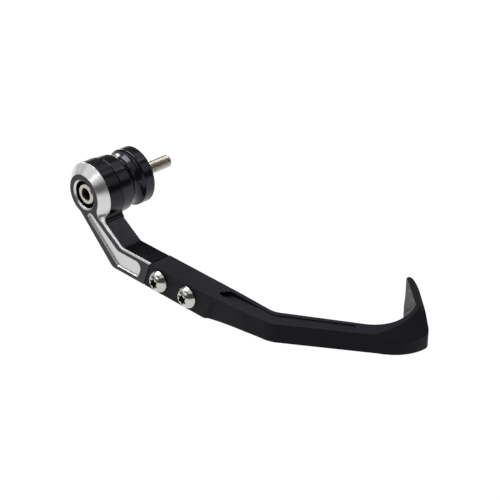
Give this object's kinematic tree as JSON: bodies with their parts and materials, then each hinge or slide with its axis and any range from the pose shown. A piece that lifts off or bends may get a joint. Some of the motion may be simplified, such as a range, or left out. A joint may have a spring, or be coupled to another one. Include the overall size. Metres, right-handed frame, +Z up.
{
  "type": "brake lever guard",
  "caption": "Brake lever guard for a handlebar end: machined arm with a round head, hooked guard that sweeps round the lever's tip, grooved bar end spool and mounting bolt.",
  "frame": {"origin": "on the mounting bolt's axis, in the plane where the spool's inner face meets the handlebar's end", "axes": "X along the bolt from its head to its stud, towards the handlebar; -Y forward, the way the arm reaches; Z up"},
  "size_m": [0.0758, 0.1734, 0.0434],
  "materials": {
    "arm": "satin black anodised, with bare machined chamfers",
    "guard": "satin, fine moulded texture",
    "spool": "gloss black",
    "fasteners": "plain stainless"
  },
  "bodies": {
    "root": {"mount_arm": "arm", "lever_guard": "guard", "bar_end_spool": "spool", "mount_bolt": "fasteners", "guard_screw_rear": "fasteners", "guard_screw_front": "fasteners"}
  },
  "joints": []
}
